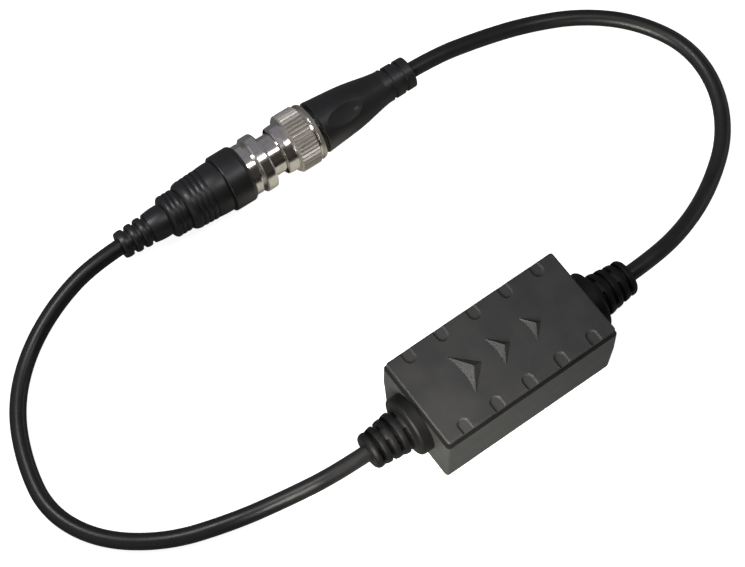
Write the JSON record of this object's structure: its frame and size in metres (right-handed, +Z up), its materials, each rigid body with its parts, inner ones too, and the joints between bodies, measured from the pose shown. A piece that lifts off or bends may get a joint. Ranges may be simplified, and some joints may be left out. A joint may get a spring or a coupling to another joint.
{
  "type": "video ground loop isolator",
  "caption": "In-line video ground loop isolator: a small ribbed-relief housing with a short coaxial cord at each end, ending in a bayonet jack and a mating bayonet plug.",
  "frame": {"origin": "centre of the housing's underside, on the surface that the part lies on", "axes": "+X along the housing from the jack's cord to the plug's cord, +Y towards the mated connectors, +Z up through the cover"},
  "size_m": [0.1861, 0.0911, 0.0202],
  "materials": {
    "housing_plastic": "fine textured black moulding",
    "cover_plastic": "fine textured black moulding",
    "relief_rubber": "satin black flexible moulding",
    "board_laminate": "green solder resist",
    "bobbin_plastic": "moulded",
    "ferrite": "ground dark ferrite",
    "winding_copper": "enamelled copper wire",
    "core_insulation": "extruded inner insulation",
    "cord_jacket": "smooth satin black cable jacket",
    "boot_rubber": "satin black flexible moulding",
    "nickelled_brass": "turned brass, bright nickel plating",
    "white_insulator": "turned white insulator",
    "contact_brass": "gilt contact",
    "gasket_rubber": "soft moulded gasket",
    "spring_steel": "spring steel",
    "ring_nickel": "die-cast ring, straight knurl, bright nickel plating"
  },
  "bodies": {
    "isolator": {"housing_base": "housing_plastic", "housing_cover": "cover_plastic", "strain_relief_jack_side": "relief_rubber", "strain_relief_plug_side": "relief_rubber", "circuit_board": "board_laminate", "transformer_bobbin": "bobbin_plastic", "core_half_jack_side": "ferrite", "core_half_plug_side": "ferrite", "primary_winding": "winding_copper", "secondary_winding": "winding_copper", "jack_side_box_core": "core_insulation", "plug_side_box_core": "core_insulation", "jack_cord": "cord_jacket", "plug_cord": "cord_jacket", "jack_boot": "boot_rubber", "jack_body": "nickelled_brass", "jack_insulator": "white_insulator", "jack_contact": "contact_brass", "jack_crimp_sleeve": "nickelled_brass", "jack_cable_core": "core_insulation", "plug_boot": "boot_rubber", "plug_body": "nickelled_brass", "plug_insulator": "white_insulator", "plug_pin": "contact_brass", "plug_gasket": "gasket_rubber", "plug_crimp_sleeve": "nickelled_brass", "plug_cable_core": "core_insulation", "wave_washer": "spring_steel"},
    "ring_carriage": {"thrust_washer": "spring_steel"},
    "ring": {"coupling_ring": "ring_nickel", "ring_retainer": "spring_steel"}
  },
  "joints": [
    {"name": "ring_draw", "type": "slide", "parent": "isolator", "child": "ring_carriage", "axis": [0.9997, -0.0262, 0], "range_m": [0, 0.0009]},
    {"name": "ring_turn", "type": "hinge", "parent": "ring_carriage", "child": "ring", "pos_m": [-0.0114, 0.0721, 0.0073], "axis": [0.9997, -0.0262, 0], "range_deg": [0, 90]}
  ],
  "couplings": [
    {"joint": "ring_draw", "follows": "ring_turn", "m_per_rad": 0.00057295}
  ]
}
